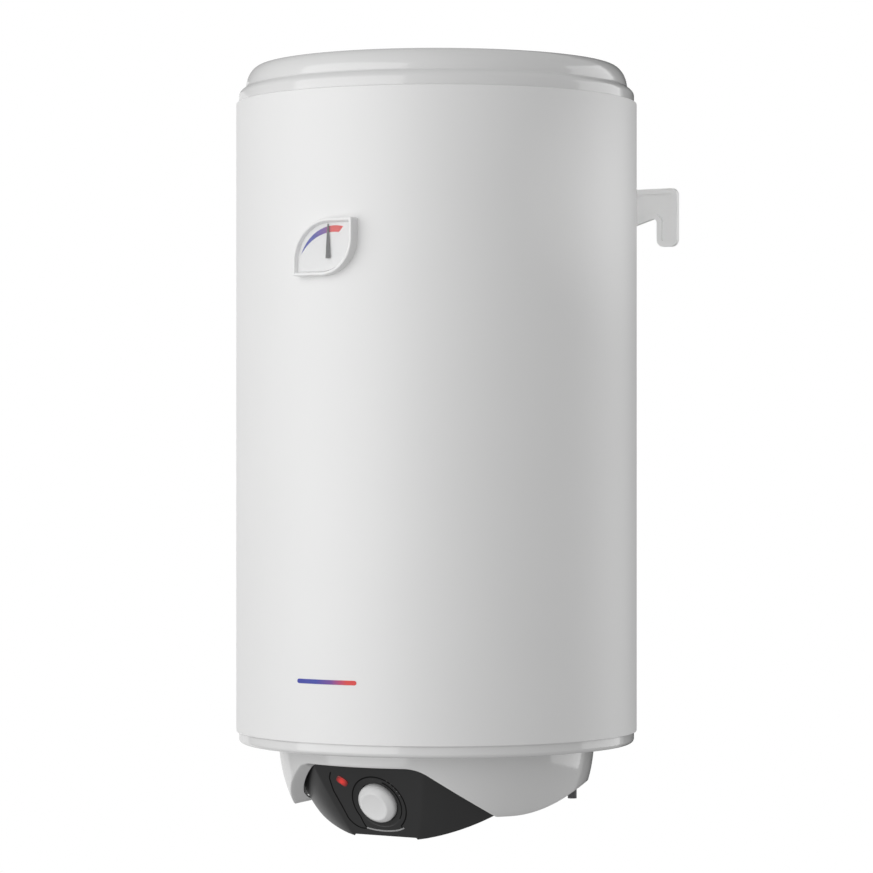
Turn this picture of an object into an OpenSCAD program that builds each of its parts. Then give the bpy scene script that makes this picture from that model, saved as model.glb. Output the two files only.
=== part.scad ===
// Wall-hung tank water heater, vertical, about 80 litres, with its inner tank, heating flange,
// thermostat and wall hooks. All sizes are in millimetres, +Z is up and the front faces -Y.
// The origin is on the wall plane, midway between the two hook seats. Most modules are
// written about the tank's vertical axis with z = 0 at the casing's bottom rim, and
// about_axis() moves them into the part's frame.

/* [Casing] */
// Outer radius of the steel casing
casing_r = 230; // [226:1:234]
// Height of the steel casing
casing_h = 719; // [712:1:730]
// Thickness of the casing sheet
casing_t = 0.8; // [0.6:0.1:1]
// Gap between the back of the casing and the wall
wall_gap = 20; // [16:1:24]

/* [Covers] */
// Radius of the plastic bands above and below the casing
band_r = 226.9; // [226:0.1:227]
// Height of the straight band of the top cover
band_h = 10; // [8:1:14]
// Radius of the raised cap of the top cover
cap_r = 219; // [216:1:220]
// Height of the foot of that raised cap above the casing
cap_foot = 18; // [16:1:22]
// Height of the crown above the casing
crown_h = 46; // [44:1:52]
// Wall thickness of the plastic covers
cover_t = 2.5; // [2:0.5:3]
// Height of the bottom lid below the casing
lid_h = 13; // [12:1:14]

/* [Bottom skirt] */
// Radius of the skirt's bulging profile
skirt_arc_r = 171.6; // [171:0.1:173]
// Distance of that profile's centre from the tank axis
skirt_arc_x = 9.6; // [9:0.1:10]
// Lowest level of the skirt's edge, at the front
skirt_low = -84.6; // [-88:0.2:-84]
// Highest level of the skirt's edge, at the back
skirt_high = -57; // [-57:1:-55]
// Top edge of the opening for the control panel
open_top = -29; // [-30:1:-28]
// Direction that the sides of the opening face, measured from the front
open_azimuth = 32; // [30:1:34]
// Depth of the white wall around the opening
reveal_depth = 16; // [14:1:17]

/* [Control panel] */
// Tilt of the flat face from the vertical
face_tilt = 25; // [24:1:26]
// Slope of the panel's underside
chin_slope = 38.5; // [38:0.5:39]
// Radius of the thermostat knob
knob_r = 23.2; // [20:0.4:23.2]
// Height of the knob above the panel's face
knob_proud = 9.5; // [5:0.5:10]

/* [Thermometer] */
// Width of the leaf-shaped bezel
gauge_w = 77.5; // [76:0.5:79]
// Height of the leaf-shaped bezel
gauge_h = 62.5; // [62:0.5:64]
// Height of the bezel's centre above the casing's bottom rim
gauge_z = 544; // [400:1:560]

/* [Wall hooks] */
// Distance of each hook plate's outer edge from the middle
hook_x = 182.5; // [180:0.5:184]
// Height of the hook seats above the casing's bottom rim
seat_z = 596.5; // [560:0.5:598]

/* [Tank] */
// Inner radius of the tank shell
tank_r = 200; // [196:1:202]
// Length of the tank's cylindrical shell
shell_h = 570; // [560:1:572]
// Wall thickness of the tank
tank_t = 2; // [1.5:0.5:2]
// Half the distance between the two pipes
pipe_x = 50; // [48:1:52]
// Distance of the pipes behind the tank axis
pipe_y = 70; // [68:1:74]

/* [Hidden] */
$fn = 96;
eps = 0.01;

axis_y = casing_r + wall_gap;
spigot = 12;
lid_spigot = 10;
rim_r = band_r + 0.3;
casing_in_r = casing_r - casing_t;

skirt_arc_z = -8;
skirt_t = 3;
floor_top = -56;
floor_t = 2.5;
floor_front = -60;

face_x = 1.5;
face_y = -126.27;
face_z = -73.06;
panel_arc_x = 28.5;
panel_arc_z = -10;
panel_arc_r = 135;
panel_t = 2.5;
panel_top = -30;
chin_y = -106;
chin_z = -113;
dish_r = 31;
dish_floor_r = 24.2;
dish_depth = 5.5;
lens_x = -40.7;
lens_y = 25.7;
lens_turn = -37;

gauge_x = 1.5;
gauge_face_y = -239.5;
gauge_rim = 3.3;
dial_y = -235;
pivot_x = 8;
pivot_z = 533.4;
axle_r = 1.2;

shell_z = 60;
head_arc = 380;
outer_tank_r = tank_r + tank_t;
neck_r = 64;
neck_in_r = 42;
neck_bottom = -2;
gasket_t = 3;
plate_t = 6;
plate_top = neck_bottom - gasket_t;
plate_bottom = plate_top - plate_t;
stud_circle = 54;
stud_count = 6;
thread_r = 10.48;
thread_h = 17.5;
pipe_r = 10.2;
pipe_bore_r = 8;
pipe_end = -80;
hook_lip_w = 27;
web_x = 100;
web_t = 3;
web_drop = 15.5;
gland_x = 118;
gland_y = 108;
gland_bore_r = 3.75;
gland_end = -81.5;
screw_spots = [[112, 30], [-112, 30], [78, 120], [-100, 108]];

white = "white";
ivory = "whitesmoke";
steel = "silver";

// ---- helpers -------------------------------------------------------------------------

// Moves a shape written about the tank axis into the part's frame.
module about_axis() {
    translate([0, -axis_y, -seat_z]) children();
}

// Frame on the panel's flat face: origin on the knob's axis, +Z straight out of the face.
module on_face() {
    about_axis() translate([face_x, face_y, face_z]) rotate([90 + face_tilt, 0, 0]) children();
}

// Frame on the thermometer: X to the right, Y up, +Z towards the viewer, z = 0 at the pivot.
module on_gauge(y) {
    about_axis() translate([0, y, 0]) rotate([90, 0, 0]) children();
}

// Extrudes an outline drawn in Y and Z along X, from x0 to x1.
module along_x(x0, x1) {
    translate([x0, 0, 0]) rotate([90, 0, 90]) linear_extrude(x1 - x0) children();
}

// Extrudes an outline drawn in X and Z along Y, from y0 back to y1.
module along_y(y0, y1) {
    translate([0, y1, 0]) rotate([90, 0, 0]) linear_extrude(y1 - y0) children();
}

module tube(r_out, r_in, h) {
    difference() {
        cylinder(r = r_out, h = h);
        translate([0, 0, -1]) cylinder(r = r_in, h = h + 2);
    }
}

// A flat bar with two round ends, centred on the origin, along X.
module stadium(length, width) {
    side = length - width;
    square([side, width], center = true);
    for (x = [-side / 2, side / 2]) {
        translate([x, 0]) circle(d = width, $fn = 32);
    }
}

// ---- casing and covers ---------------------------------------------------------------

// Pocket for the thermometer's case, along Y at the pivot.
module gauge_hole(r, deep_y) {
    on_gauge(deep_y) translate([pivot_x, pivot_z, 0]) cylinder(r = r, h = 40 + casing_r);
}

// Slots that let the hooks' webs through the casing and the foam.
module hook_slots() {
    gap = 0.4;
    about_axis() for (side = [-1, 1]) {
        translate([side * (web_x + web_t / 2) - web_t / 2 - gap, 150, seat_z - web_drop - gap])
            cube([web_t + 2 * gap, 90, web_drop + 35.5 + 2 * gap]);
    }
}

module outer_casing() {
    roll = 1.2;
    color(white) difference() {
        about_axis() rotate_extrude() {
            translate([casing_in_r, roll]) square([casing_t, casing_h - 2 * roll]);
            for (z = [roll, casing_h - roll]) {
                translate([casing_r - roll, z]) circle(r = roll, $fn = 32);
            }
            for (z = [0, casing_h - casing_t]) {
                translate([rim_r, z]) square([casing_r - roll - rim_r, casing_t]);
            }
        }
        gauge_hole(15.3, -200);
        hook_slots();
    }
}

// Outline of the top cover in r and z, measured from the casing's top, moved in by a wall.
function cover_shoulder(in) = [for (t = [0 : 7.5 : 90])
    [cap_r - in - 16.2 * (1 - pow(cos(t), 1.1)), cap_foot + (42.2 - cap_foot - in) * pow(sin(t), 1.1)]];
function cover_crown(in) = [for (s = [0.8 : -0.2 : 0])
    [s * cap_r, crown_h - in - (crown_h - 42.4) * s * s]];

module cover_outline(in, bottom) {
    polygon(concat(
        [[0, bottom], [band_r - in, bottom], [band_r - in, band_h],
            [band_r - 1.4 - in, band_h + 2.6], [cap_r - in, cap_foot - in / 2]],
        cover_shoulder(in), cover_crown(in)));
}

module top_cover() {
    color(white) about_axis() translate([0, 0, casing_h]) rotate_extrude() difference() {
        cover_outline(0, -spigot);
        cover_outline(cover_t, -spigot - 1);
    }
}

module bottom_lid() {
    edge_r = 5;
    color(white) about_axis() difference() {
        union() {
            rotate_extrude() difference() {
                union() {
                    translate([0, -lid_h + edge_r]) square([band_r, lid_spigot + lid_h - edge_r]);
                    translate([0, -lid_h]) square([band_r - edge_r, edge_r + 1]);
                    translate([band_r - edge_r, -lid_h + edge_r]) circle(r = edge_r);
                }
                translate([0, -lid_h + cover_t]) square([band_r - cover_t, lid_h + 20]);
            }
            for (p = screw_spots) {
                translate([p[0], p[1], floor_top]) cylinder(r = 6, h = -floor_top - lid_h + 1);
            }
        }
        translate([0, 0, -lid_h - 1]) cylinder(r = neck_r + 6, h = lid_h);
        for (side = [-1, 1]) {
            translate([side * pipe_x, pipe_y, -lid_h - 1]) cylinder(r = thread_r + 0.3, h = lid_h);
        }
        for (p = screw_spots) {
            translate([p[0], p[1], floor_top - 1]) cylinder(r = 2, h = 16, $fn = 32);
        }
    }
}

// ---- bottom skirt and floor ----------------------------------------------------------

// The bulging body of the skirt, moved inward by a distance, down to z = bottom.
module skirt_form(in, bottom = -120) {
    rotate_extrude() intersection() {
        translate([skirt_arc_x, skirt_arc_z]) circle(r = skirt_arc_r - in);
        translate([0, bottom]) square([casing_r, -bottom - lid_h]);
    }
}

// Everything under the skirt's lower edge, which rises smoothly from front to back.
function ease(t) = t * t * (3 - 2 * t);
module below_skirt() {
    edge = [for (t = [0 : 0.05 : 1]) [-75 + 141 * t, skirt_low + (skirt_high - skirt_low) * ease(t)]];
    along_x(-casing_r, casing_r) polygon(concat(
        [[-casing_r, -150], [-casing_r, skirt_low]], edge, [[casing_r, skirt_high], [casing_r, -150]]));
}

// One side of the panel opening: a straight-sided tunnel with a rounded upper corner.
module opening_side(grow) {
    corner_r = 50;
    corner_u = -36.5;
    slope = 32.2;
    centre = [corner_u, open_top - corner_r];
    r = corner_r + grow;
    corner = [for (t = [90 : -slope / 6 : 90 - slope]) centre + r * [cos(t), sin(t)]];
    last = centre + r * [sin(slope), cos(slope)];
    rotate([90, 0, open_azimuth]) linear_extrude(casing_r) polygon(concat(
        [[-casing_r, open_top + grow]], corner, [last + 200 * [cos(slope), -sin(slope)], [-casing_r, -200]]));
}

module panel_opening(grow) {
    intersection() {
        opening_side(grow);
        mirror([1, 0, 0]) opening_side(grow);
    }
}

module bottom_skirt() {
    reveal_t = 2.2;
    lip_in_r = 162;
    color(white) about_axis() difference() {
        union() {
            difference() {
                skirt_form(0);
                translate([0, 0, -lid_h - cover_t - 1]) cylinder(r = lip_in_r, h = cover_t + 2);
                difference() {
                    skirt_form(skirt_t);
                    translate([0, 0, -lid_h - cover_t]) cylinder(r = casing_r, h = 50);
                }
                panel_opening(0);
            }
            difference() {
                intersection() {
                    skirt_form(0);
                    panel_opening(reveal_t);
                }
                translate([0, 0, 1]) skirt_form(reveal_depth);
                panel_opening(0);
            }
        }
        below_skirt();
    }
}

module compartment_floor() {
    gap = 0.2;
    apron_low = -76.5;
    color(ivory) about_axis() difference() {
        intersection() {
            skirt_form(skirt_t + gap);
            union() {
                translate([-casing_r, floor_front, floor_top - floor_t])
                    cube([2 * casing_r, 2 * casing_r, floor_t]);
                translate([-casing_r, floor_front, apron_low])
                    cube([2 * casing_r, floor_t, floor_top - apron_low]);
            }
        }
        for (side = [-1, 1]) {
            translate([side * pipe_x, pipe_y, floor_top - 10]) cylinder(r = thread_r + 0.3, h = 20);
        }
        translate([gland_x, gland_y, floor_top - 10]) cylinder(r = 6, h = 20);
        for (p = screw_spots) {
            translate([p[0], p[1], floor_top - 10]) cylinder(r = 2.1, h = 20, $fn = 32);
        }
    }
}

// ---- control panel -------------------------------------------------------------------

// The black bowl, cut by the flat face, by the slanting underside and by its back plane.
module panel_form(in, back) {
    big = 400;
    intersection() {
        rotate_extrude() intersection() {
            translate([panel_arc_x, panel_arc_z]) circle(r = panel_arc_r - in);
            translate([0, -150]) square([casing_r, 150 + panel_top - in]);
        }
        translate([0, face_y, face_z]) rotate([90 + face_tilt, 0, 0]) translate([-big / 2, -big / 2, -big - in])
            cube(big);
        translate([0, chin_y, chin_z]) rotate([chin_slope, 0, 0]) translate([-big / 2, -big / 2, in])
            cube(big);
        translate([-big / 2, back - big, -big / 2]) cube(big);
    }
}

module control_panel() {
    color([0.13, 0.13, 0.14]) difference() {
        union() {
            about_axis() difference() {
                panel_form(0, floor_front);
                panel_form(panel_t, floor_front + 1);
            }
            on_face() translate([0, 0, -dish_depth - panel_t]) cylinder(r = dish_r + 2, h = dish_depth + 1);
        }
        on_face() {
            translate([0, 0, -dish_depth]) cylinder(r1 = dish_floor_r, r2 = dish_r, h = dish_depth);
            translate([0, 0, -20]) cylinder(r = 4, h = 40);
            translate([lens_x, lens_y, -10]) rotate([0, 0, lens_turn]) linear_extrude(20) stadium(13.5, 8.4);
        }
    }
}

module dial_ring() {
    color([0.2, 0.2, 0.21]) on_face() tube(dish_r + 1.1, dish_r + 0.2, 0.4);
}

module dial_marks() {
    color([0.6, 0.6, 0.6]) on_face() for (t = [20 : 9 : 56]) {
        rotate([0, 0, t]) translate([dish_r + 2.2, -0.4, 0]) cube([2.4, 0.8, 0.2]);
    }
}

module thermostat_knob() {
    foot = -4.8;
    wall_top = 3;
    grip_r = 16.8;
    color([0.88, 0.88, 0.88]) on_face() difference() {
        union() {
            translate([0, 0, foot]) cylinder(r = knob_r, h = wall_top - foot);
            translate([0, 0, wall_top]) cylinder(r1 = knob_r, r2 = grip_r, h = knob_proud - wall_top);
        }
        translate([0, 0, knob_proud - 0.8]) cylinder(r1 = 9, r2 = grip_r - 0.6, h = 0.9);
        translate([0, 0, foot - eps]) tube(knob_r - 2.4, 6, 4.2);
        translate([0, 0, foot - 1]) cylinder(r = 3, h = 7);
    }
}

module thermostat_spindle() {
    color(steel) on_face() translate([0, 0, -34]) cylinder(r = 3, h = 34 - 4.8 + 6);
}

module indicator_lens() {
    color("red") on_face() translate([lens_x, lens_y, -4]) rotate([0, 0, lens_turn]) {
        linear_extrude(5) stadium(13.5, 8.4);
        translate([0, 0, panel_t - 2.5]) linear_extrude(4 - panel_t) stadium(16.5, 11);
    }
}

module indicator_lamp() {
    color("orange") on_face() translate([lens_x, lens_y, -18]) {
        cylinder(r = 2.6, h = 11, $fn = 32);
        translate([0, 0, 11]) sphere(r = 2.6, $fn = 32);
    }
}

// ---- thermometer ---------------------------------------------------------------------

function arc(centre, r, from, to) = [for (i = [0 : 12]) let (t = from + (to - from) * i / 12)
    centre + r * [cos(t), sin(t)]];

// Leaf outline: square corners at top right and bottom left, large rounds at the others.
module leaf(in) {
    x = gauge_w / 2 - in;
    y = gauge_h / 2 - in;
    big = 47 - in;
    small = 40 - in;
    translate([gauge_x, gauge_z]) polygon(concat(
        [[x, y]], arc([big - x, y - big], big, 90, 180),
        [[-x, -y]], arc([x - small, small - y], small, -90, 0)));
}

// Leaf-shaped slab between two depths, given as distances in front of the tank axis.
module leaf_slab(in, near, far) {
    on_gauge(-near) linear_extrude(far - near) leaf(in);
}

module gauge_bezel() {
    floor_in = gauge_rim + 1.5;
    ledge = -gauge_face_y - 1;
    color(white) difference() {
        leaf_slab(0, 200, -gauge_face_y);
        about_axis() cylinder(r = casing_r + 0.3, h = casing_h);
        leaf_slab(gauge_rim, ledge, -gauge_face_y + 1);
        leaf_slab(gauge_rim + 0.5, ledge - 1, ledge + 0.1);
        leaf_slab(floor_in, -dial_y - 1, ledge - 0.9);
        on_gauge(-200) translate([pivot_x, pivot_z, 0]) cylinder(r = 15.3, h = -dial_y - 202.2);
        on_gauge(-200) translate([pivot_x, pivot_z, 0]) cylinder(r = 3, h = 60);
    }
}

module gauge_dial() {
    color(ivory) difference() {
        leaf_slab(gauge_rim + 1.6, -dial_y - 1, -dial_y);
        on_gauge(-200) translate([pivot_x, pivot_z, 0]) cylinder(r = 2, h = 60);
    }
}

// The coloured crescent lies between two circles and is cut off at a slant on its hot end.
module crescent(from_x, to_x) {
    on_gauge(dial_y) translate([pivot_x, pivot_z, 0]) linear_extrude(0.15) intersection() {
        difference() {
            translate([7.9, -13.1]) circle(r = 46.8);
            translate([6.8, -24]) circle(r = 50.6);
        }
        translate([from_x, 0]) square([to_x - from_x, 60]);
        polygon([[-60, -5], [-17, -5], [12.8, 25.6], [26, 39.4], [-60, 60]]);
    }
}

module gauge_arc_cold() {
    color([0.2, 0.25, 0.65]) crescent(-40, -12);
}

module gauge_arc_warm() {
    color([0.45, 0.25, 0.6]) crescent(-12, 0);
}

module gauge_arc_hot() {
    color([0.85, 0.25, 0.25]) crescent(0, 24);
}

module gauge_pointer() {
    color("black") on_gauge(dial_y - 0.9) translate([pivot_x, pivot_z, 0]) difference() {
        linear_extrude(0.8) polygon([[-3, -2], [3, -2], [2.2, 12], [0.6, 35.4], [-0.6, 35.4], [-2.2, 12]]);
        translate([0, 0, -1]) cylinder(r = axle_r, h = 3, $fn = 32);
    }
}

module gauge_axle() {
    color("gold") on_gauge(-224) translate([pivot_x, pivot_z, 0])
        cylinder(r = axle_r, h = -dial_y - 222.3, $fn = 32);
}

module gauge_window() {
    color([0.9, 0.95, 1, 0.3]) leaf_slab(gauge_rim + 0.1, -gauge_face_y - 0.95, -gauge_face_y - 0.2);
}

module gauge_case() {
    color([0.25, 0.25, 0.27]) on_gauge(-212) translate([pivot_x, pivot_z, 0]) difference() {
        cylinder(r = 15, h = -dial_y - 214.5);
        translate([0, 0, 11]) cylinder(r = axle_r + 0.05, h = 20, $fn = 32);
    }
}

module gauge_bulb() {
    color("gold") difference() {
        on_gauge(-190) translate([pivot_x, pivot_z, 0]) cylinder(r = 4, h = 22);
        about_axis() cylinder(r = outer_tank_r, h = casing_h);
    }
}

// ---- wall hooks ----------------------------------------------------------------------

// Outline of a hook plate in X and Z, moved in by a distance: an arm with a lip at its outer end.
module hook_outline(in) {
    corner_r = 8.5;
    notch_r = 5;
    top = seat_z + 35.5;
    low = seat_z - 33.4;
    lip_x = hook_x - hook_lip_w;
    polygon([[web_x, top - in], [hook_x - corner_r, top - in], [hook_x - corner_r, seat_z + in],
        [lip_x - notch_r, seat_z + in], [web_x, seat_z - web_drop + in]]);
    translate([lip_x + corner_r, low + in]) square([hook_lip_w - 2 * corner_r, top - low - 2 * in]);
    translate([lip_x + in, low + corner_r]) square([hook_lip_w - 2 * in, top - low - 2 * corner_r]);
    for (p = [[lip_x + corner_r, low + corner_r], [hook_x - corner_r, low + corner_r],
        [hook_x - corner_r, top - corner_r]]) {
        translate(p) circle(r = corner_r - in, $fn = 48);
    }
    difference() {
        translate([lip_x - notch_r, seat_z - notch_r]) square(notch_r + in + eps);
        translate([lip_x - notch_r, seat_z - notch_r]) circle(r = notch_r + in, $fn = 48);
    }
}

module hook_arm() {
    plate_t = 3;
    border = 6.5;
    along_y(axis_y - plate_t, axis_y) hook_outline(0);
    along_y(axis_y - 2 * plate_t, axis_y - plate_t + eps) difference() {
        hook_outline(0);
        hook_outline(border);
        translate([0, seat_z - 60]) square([web_x + border, 120]);
    }
    difference() {
        translate([web_x, 150, seat_z - web_drop]) cube([web_t, axis_y - 150, web_drop + 35.5]);
        cylinder(r = outer_tank_r + tank_t, h = casing_h);
    }
}

module hook_arm_right() {
    color(white) about_axis() hook_arm();
}

module hook_arm_left() {
    color(white) about_axis() mirror([1, 0, 0]) hook_arm();
}

// ---- tank ----------------------------------------------------------------------------

// Half lens of revolution that fills a tank end, outside or inside the wall.
module head_form(r, drop) {
    rotate_extrude() intersection() {
        translate([0, sqrt(head_arc * head_arc - outer_tank_r * outer_tank_r)])
            circle(r = head_arc - drop, $fn = 200);
        translate([0, -head_arc]) square([r, head_arc]);
    }
}

module tank_head() {
    difference() {
        head_form(outer_tank_r, 0);
        translate([0, 0, eps]) head_form(outer_tank_r, tank_t);
    }
}

module strap_form(gap) {
    translate([0, 0, seat_z - 10 - gap]) rotate([0, 0, 90 - 60 - gap / 3])
        rotate_extrude(angle = 120 + 2 * gap / 3) translate([outer_tank_r, 0]) square([2 + gap, 35 + 2 * gap]);
}

module tank_strap() {
    color(steel) about_axis() strap_form(0);
}

module tank_shell() {
    color("cadetblue") about_axis() translate([0, 0, shell_z]) tube(outer_tank_r, tank_r, shell_h);
}

module tank_top_head() {
    color("cadetblue") about_axis() translate([0, 0, shell_z + shell_h]) mirror([0, 0, 1]) tank_head();
}

module tank_bottom_head() {
    color("cadetblue") about_axis() difference() {
        translate([0, 0, shell_z]) tank_head();
        translate([0, 0, -5]) cylinder(r = neck_in_r, h = 40);
        for (side = [-1, 1]) {
            translate([side * pipe_x, pipe_y, -5]) cylinder(r = pipe_r, h = 40);
        }
    }
}

module insulation_foam() {
    color("khaki") difference() {
        about_axis() translate([0, 0, lid_spigot + 1])
            cylinder(r = casing_in_r - 0.1, h = casing_h - lid_spigot - spigot - 3);
        about_axis() {
            translate([0, 0, shell_z - eps]) cylinder(r = outer_tank_r, h = shell_h + 2 * eps);
            translate([0, 0, shell_z]) head_form(outer_tank_r, 0);
            translate([0, 0, shell_z + shell_h]) mirror([0, 0, 1]) head_form(outer_tank_r, 0);
            translate([0, 0, -1]) cylinder(r = neck_r + 6, h = 30);
            for (side = [-1, 1]) {
                translate([side * pipe_x, pipe_y, 0]) cylinder(r = pipe_r + 0.1, h = 30);
            }
            strap_form(0.3);
        }
        gauge_hole(15.4, -211.5);
        on_gauge(-190) translate([pivot_x, pivot_z, 0]) cylinder(r = 4.2, h = 22);
        hook_slots();
    }
}

// ---- heating flange ------------------------------------------------------------------

// Places children at each stud on the flange's bolt circle.
module at_studs() {
    for (i = [0 : stud_count - 1]) {
        rotate([0, 0, i * 360 / stud_count]) translate([0, stud_circle, 0]) children();
    }
}

module flange_neck() {
    color(steel) about_axis() difference() {
        translate([0, 0, neck_bottom]) tube(neck_r, neck_in_r, 16);
        translate([0, 0, shell_z]) head_form(outer_tank_r, 0);
        at_studs() translate([0, 0, neck_bottom - 1]) cylinder(r = 4, h = 7, $fn = 32);
    }
}

module flange_gasket() {
    color([0.15, 0.15, 0.15]) about_axis() difference() {
        translate([0, 0, plate_top]) tube(neck_r, neck_in_r, gasket_t);
        at_studs() translate([0, 0, plate_top - 1]) cylinder(r = 4.2, h = 10, $fn = 32);
    }
}

element_x = 20;
element_y = 8;
anode_y = 29;
well_x = 11;
well_y = -21;
earth_spot = [33, -14];

module flange_plate() {
    color(steel) about_axis() difference() {
        translate([0, 0, plate_bottom]) cylinder(r = neck_r, h = plate_t);
        translate([0, 0, plate_bottom - 1]) {
            at_studs() cylinder(r = 4.3, h = 10, $fn = 32);
            for (side = [-1, 1]) {
                translate([side * element_x, element_y, 0]) cylinder(r = 4.1, h = 10, $fn = 32);
                translate([side * well_x, well_y, 0]) cylinder(r = 6, h = 10, $fn = 48);
            }
            translate([0, anode_y, 0]) cylinder(r = 4, h = 10, $fn = 32);
        }
        translate([earth_spot[0], earth_spot[1], plate_bottom - 1]) cylinder(r = 2.5, h = 5, $fn = 32);
    }
}

module flange_studs() {
    color(steel) about_axis() at_studs() translate([0, 0, plate_bottom - 9])
        cylinder(r = 4, h = neck_bottom + 6 - plate_bottom + 9, $fn = 32);
}

module flange_nuts() {
    color(steel) about_axis() at_studs() translate([0, 0, plate_bottom - 6.5]) difference() {
        cylinder(r = 7.5, h = 6.5, $fn = 6);
        translate([0, 0, -1]) cylinder(r = 4, h = 9, $fn = 32);
    }
}

module heating_element() {
    tip = plate_bottom - 10;
    top = 280;
    color([0.55, 0.45, 0.35]) about_axis() translate([0, element_y, 0]) {
        for (side = [-1, 1]) {
            translate([side * element_x, 0, tip]) cylinder(r = 4.1, h = top - tip, $fn = 32);
        }
        translate([0, 0, top]) rotate([90, 0, 0]) rotate_extrude(angle = 180) translate([element_x, 0])
            circle(r = 4.1, $fn = 32);
    }
}

module element_terminals() {
    color("gold") about_axis() for (side = [-1, 1]) {
        translate([side * element_x, element_y, plate_bottom - 18]) cylinder(r = 2, h = 8, $fn = 32);
        translate([side * element_x - 3.2, element_y - 0.4, plate_bottom - 26]) cube([6.4, 0.8, 9]);
    }
}

module anode_rod() {
    color([0.65, 0.66, 0.68]) about_axis() translate([0, anode_y, 0]) {
        translate([0, 0, plate_top]) cylinder(r = 11, h = 330);
        translate([0, 0, plate_bottom - 8]) cylinder(r = 4, h = 16, $fn = 32);
    }
}

module anode_nut() {
    color(steel) about_axis() translate([0, anode_y, plate_bottom - 6.5]) difference() {
        cylinder(r = 7.5, h = 6.5, $fn = 6);
        translate([0, 0, -1]) cylinder(r = 4, h = 9, $fn = 32);
    }
}

module thermowells() {
    color([0.72, 0.45, 0.3]) about_axis() for (side = [-1, 1]) {
        translate([side * well_x, well_y, plate_bottom]) difference() {
            cylinder(r = 6, h = 270, $fn = 48);
            translate([0, 0, -1]) cylinder(r = 4.6, h = 269, $fn = 48);
        }
    }
}

// ---- pipes ---------------------------------------------------------------------------

// A pipe with the threaded length at its lower end.
module pipe(side, top) {
    color(steel) about_axis() translate([side * pipe_x, pipe_y, pipe_end]) difference() {
        union() {
            cylinder(r = pipe_r, h = top - pipe_end);
            cylinder(r = thread_r, h = thread_h);
        }
        translate([0, 0, -1]) cylinder(r = pipe_bore_r, h = top - pipe_end + 2);
    }
}

module pipe_collar(side) {
    about_axis() translate([side * pipe_x, pipe_y, floor_top - floor_t - 4]) tube(thread_r + 5, pipe_r, 4);
}

module cold_inlet_pipe() {
    pipe(1, 60);
}

module hot_outlet_pipe() {
    pipe(-1, 655);
}

module inlet_diffuser() {
    color(ivory) about_axis() translate([pipe_x, pipe_y, 60]) difference() {
        cylinder(r = 16, h = 22);
        translate([0, 0, -1]) cylinder(r = 13.5, h = 20);
        for (t = [0 : 60 : 120]) {
            rotate([0, 0, t]) translate([-20, -2.5, 5]) cube([40, 5, 7]);
        }
    }
}

module cold_pipe_collar() {
    color([0.1, 0.3, 0.8]) pipe_collar(1);
}

module hot_pipe_collar() {
    color([0.8, 0.12, 0.12]) pipe_collar(-1);
}

// ---- thermostat and wiring -----------------------------------------------------------

module thermostat_body() {
    color([0.85, 0.84, 0.8]) on_face() difference() {
        union() {
            translate([-22, -15, -46]) cube([44, 30, 22]);
            translate([0, 0, -25]) cylinder(r = 6, h = 10);
        }
        translate([0, 0, -35]) cylinder(r = 3.05, h = 30);
    }
}

cutout_low = plate_bottom - 17;
button_spot = [0, -34];

module thermal_cutout() {
    color([0.2, 0.2, 0.22]) about_axis() difference() {
        translate([-17, -42, cutout_low]) cube([34, 28, 17]);
        translate([button_spot[0], button_spot[1], cutout_low - 1]) cylinder(r = 3.05, h = 8, $fn = 32);
    }
}

module reset_button() {
    color("red") about_axis() translate([button_spot[0], button_spot[1], cutout_low - 3])
        cylinder(r = 3, h = 7, $fn = 32);
}

module terminal_block() {
    color(ivory) about_axis() difference() {
        translate([-30, 22, floor_top]) cube([60, 22, 16]);
        for (x = [-20, 0, 20]) {
            translate([x, 33, floor_top + 8]) cylinder(r = 3.4, h = 10, $fn = 32);
        }
    }
}

module earth_screw() {
    color("gold") about_axis() translate([earth_spot[0], earth_spot[1], plate_bottom]) {
        translate([0, 0, -3]) cylinder(r = 4.5, h = 3, $fn = 32);
        cylinder(r = 2.5, h = 4, $fn = 32);
    }
}

// Formed copper links from the element's tabs to the terminal block, one on each side.
module inner_leads() {
    block_top = floor_top + 16;
    tab = plate_bottom - 26;
    color([0.72, 0.45, 0.3]) about_axis() for (x = [-element_x, element_x]) {
        along_x(x - 2, x + 2) polygon([
            [element_y - 1.5, tab], [element_y - 1.5, block_top + 1], [30, block_top + 1],
            [30, block_top], [element_y - 2.5, block_top], [element_y - 2.5, tab]]);
    }
}

// ---- cable gland and screws ----------------------------------------------------------

module cable_gland() {
    color([0.3, 0.3, 0.31]) about_axis() translate([gland_x, gland_y, 0]) difference() {
        union() {
            translate([0, 0, gland_end]) cylinder(r = 5.2, h = 20);
            translate([0, 0, floor_top - floor_t - 4]) cylinder(r = 8.8, h = 4);
            translate([0, 0, floor_top - floor_t - 1]) cylinder(r = 6, h = 9.5);
        }
        translate([0, 0, gland_end - 1]) cylinder(r = gland_bore_r, h = 50);
    }
}

module gland_nut() {
    color([0.3, 0.3, 0.31]) about_axis() translate([gland_x, gland_y, floor_top]) difference() {
        cylinder(r = 8.8, h = 4, $fn = 6);
        translate([0, 0, -1]) cylinder(r = 6, h = 9);
    }
}

module cover_screws() {
    color(steel) about_axis() for (p = screw_spots) {
        translate([p[0], p[1], floor_top - floor_t]) {
            translate([0, 0, -2.4]) cylinder(r = 4, h = 2.4, $fn = 32);
            cylinder(r = 2, h = 16, $fn = 32);
        }
    }
}

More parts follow.
